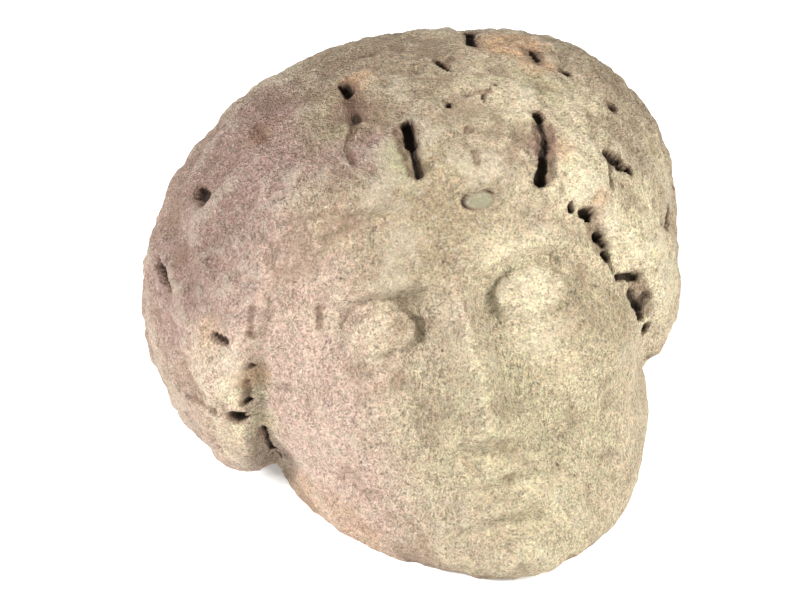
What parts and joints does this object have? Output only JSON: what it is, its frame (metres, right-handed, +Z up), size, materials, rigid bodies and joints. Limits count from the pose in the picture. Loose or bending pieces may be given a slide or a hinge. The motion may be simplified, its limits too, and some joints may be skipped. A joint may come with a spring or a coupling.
{
  "type": "female head sculpture",
  "caption": "Life-size weathered sandstone head of a woman with drilled, melon-cut hair, broken off under the chin and resting tipped back on its break.",
  "frame": {"origin": "middle of the flat break that the head rests on", "axes": "+Z up off the surface it rests on, -Y towards the viewer whom the face looks at, +X to that viewer's right"},
  "size_m": [0.1958, 0.21, 0.1535],
  "materials": {
    "sandstone": "dry, coarse-grained weathered stone"
  },
  "bodies": {
    "root": {"sandstone_head": "sandstone"}
  },
  "joints": []
}
